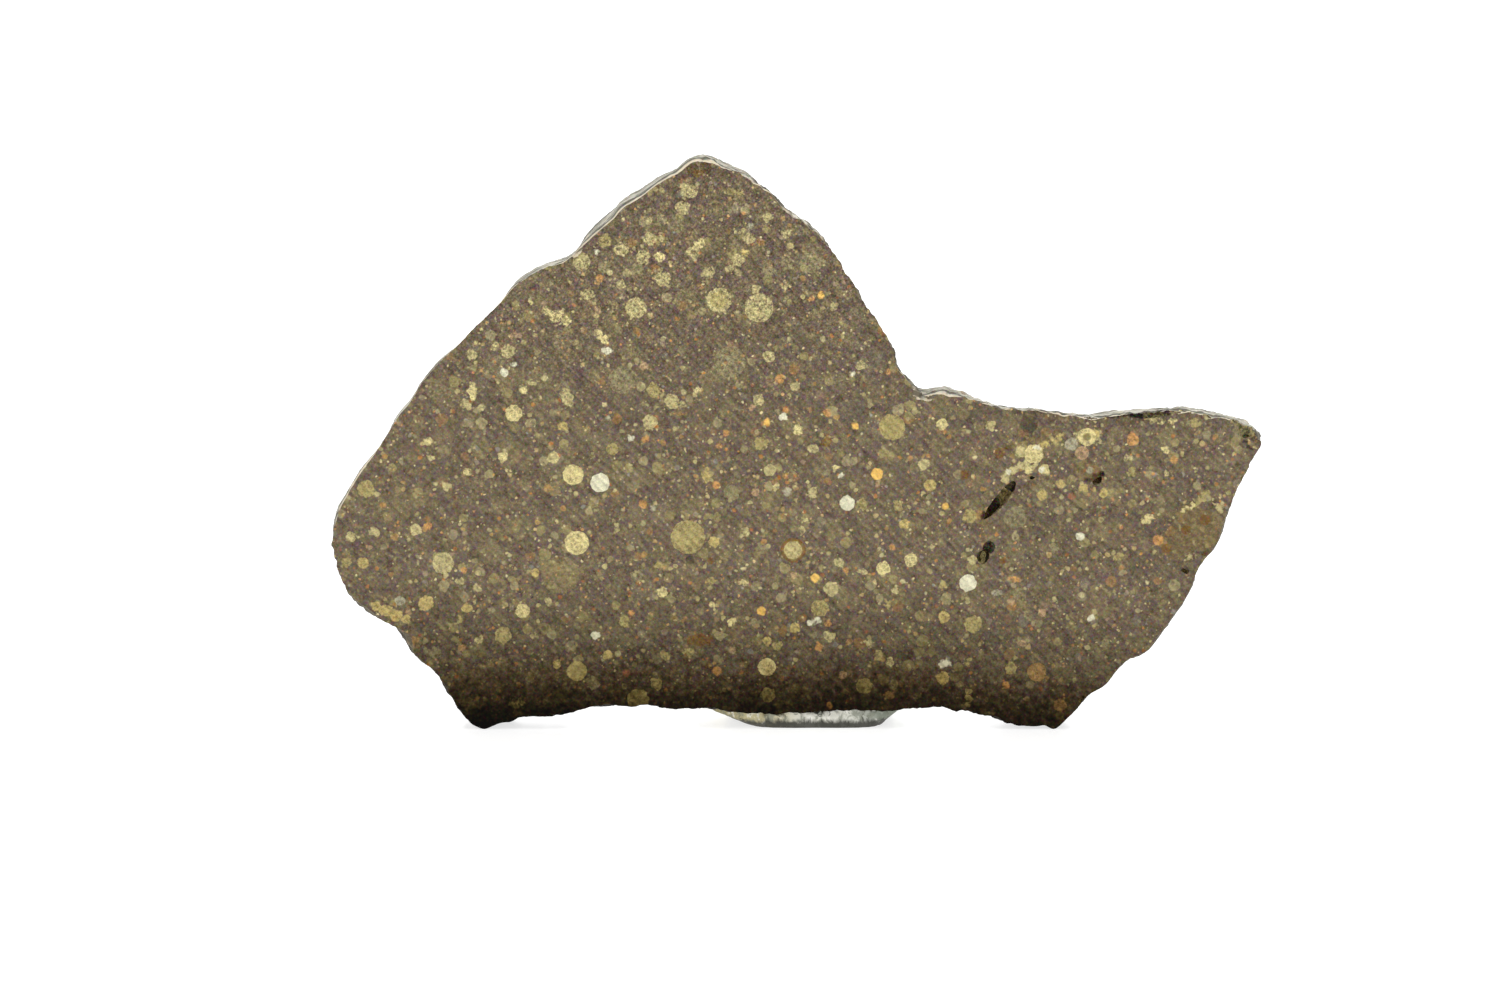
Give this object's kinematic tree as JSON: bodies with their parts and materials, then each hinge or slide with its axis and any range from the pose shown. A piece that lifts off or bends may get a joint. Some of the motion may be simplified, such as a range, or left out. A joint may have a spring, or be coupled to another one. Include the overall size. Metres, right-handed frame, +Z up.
{
  "type": "stony meteorite slice on a putty rest",
  "caption": "Flat sawn slice of a chondrite meteorite with a natural rim, standing upright on its corners against a lump of putty.",
  "frame": {"origin": "on the floor, in the middle of the whole object seen from above", "axes": "+Z up; the sawn front faces -Y; the slice's long side runs along X, with its low arm at +X"},
  "size_m": [0.0702, 0.0142, 0.0434],
  "materials": {
    "meteorite_stone": "satin sawn faces, matt natural rim",
    "putty": "matt, slightly greasy putty"
  },
  "bodies": {
    "root": {"meteorite_slice": "meteorite_stone", "putty_rest": "putty"}
  },
  "joints": []
}
